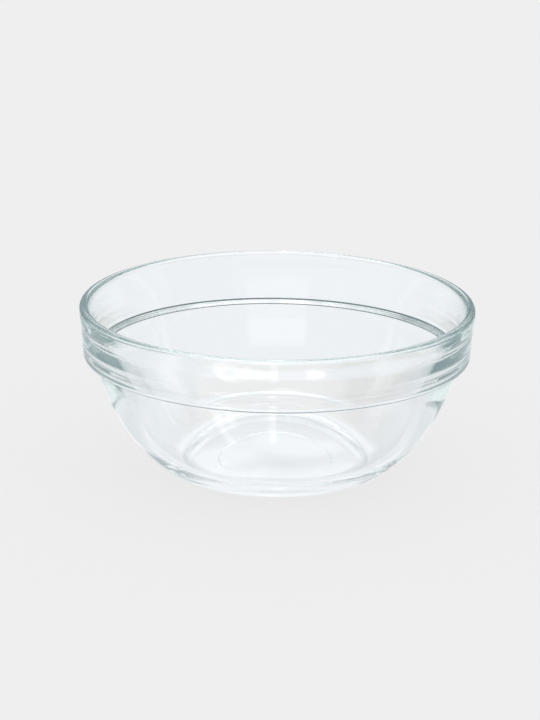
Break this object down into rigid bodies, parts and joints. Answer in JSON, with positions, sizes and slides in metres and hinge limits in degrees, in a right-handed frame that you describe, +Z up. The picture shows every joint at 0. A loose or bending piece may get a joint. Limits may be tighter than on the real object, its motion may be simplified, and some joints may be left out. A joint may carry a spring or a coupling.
{
  "type": "prep bowl",
  "caption": "Clear pressed-glass prep bowl: rounded, slightly flared rim, upright collar and outside stacking shoulder, smooth inside, curved wall and a flat base.",
  "frame": {"origin": "middle of the foot, on the table", "axes": "+Z up along the bowl's axis of revolution; X and Y lie in the table plane and are alike"},
  "size_m": [0.12, 0.12, 0.052],
  "materials": {
    "clear_glass": "fire-polished"
  },
  "bodies": {
    "root": {"bowl": "clear_glass"}
  },
  "joints": []
}
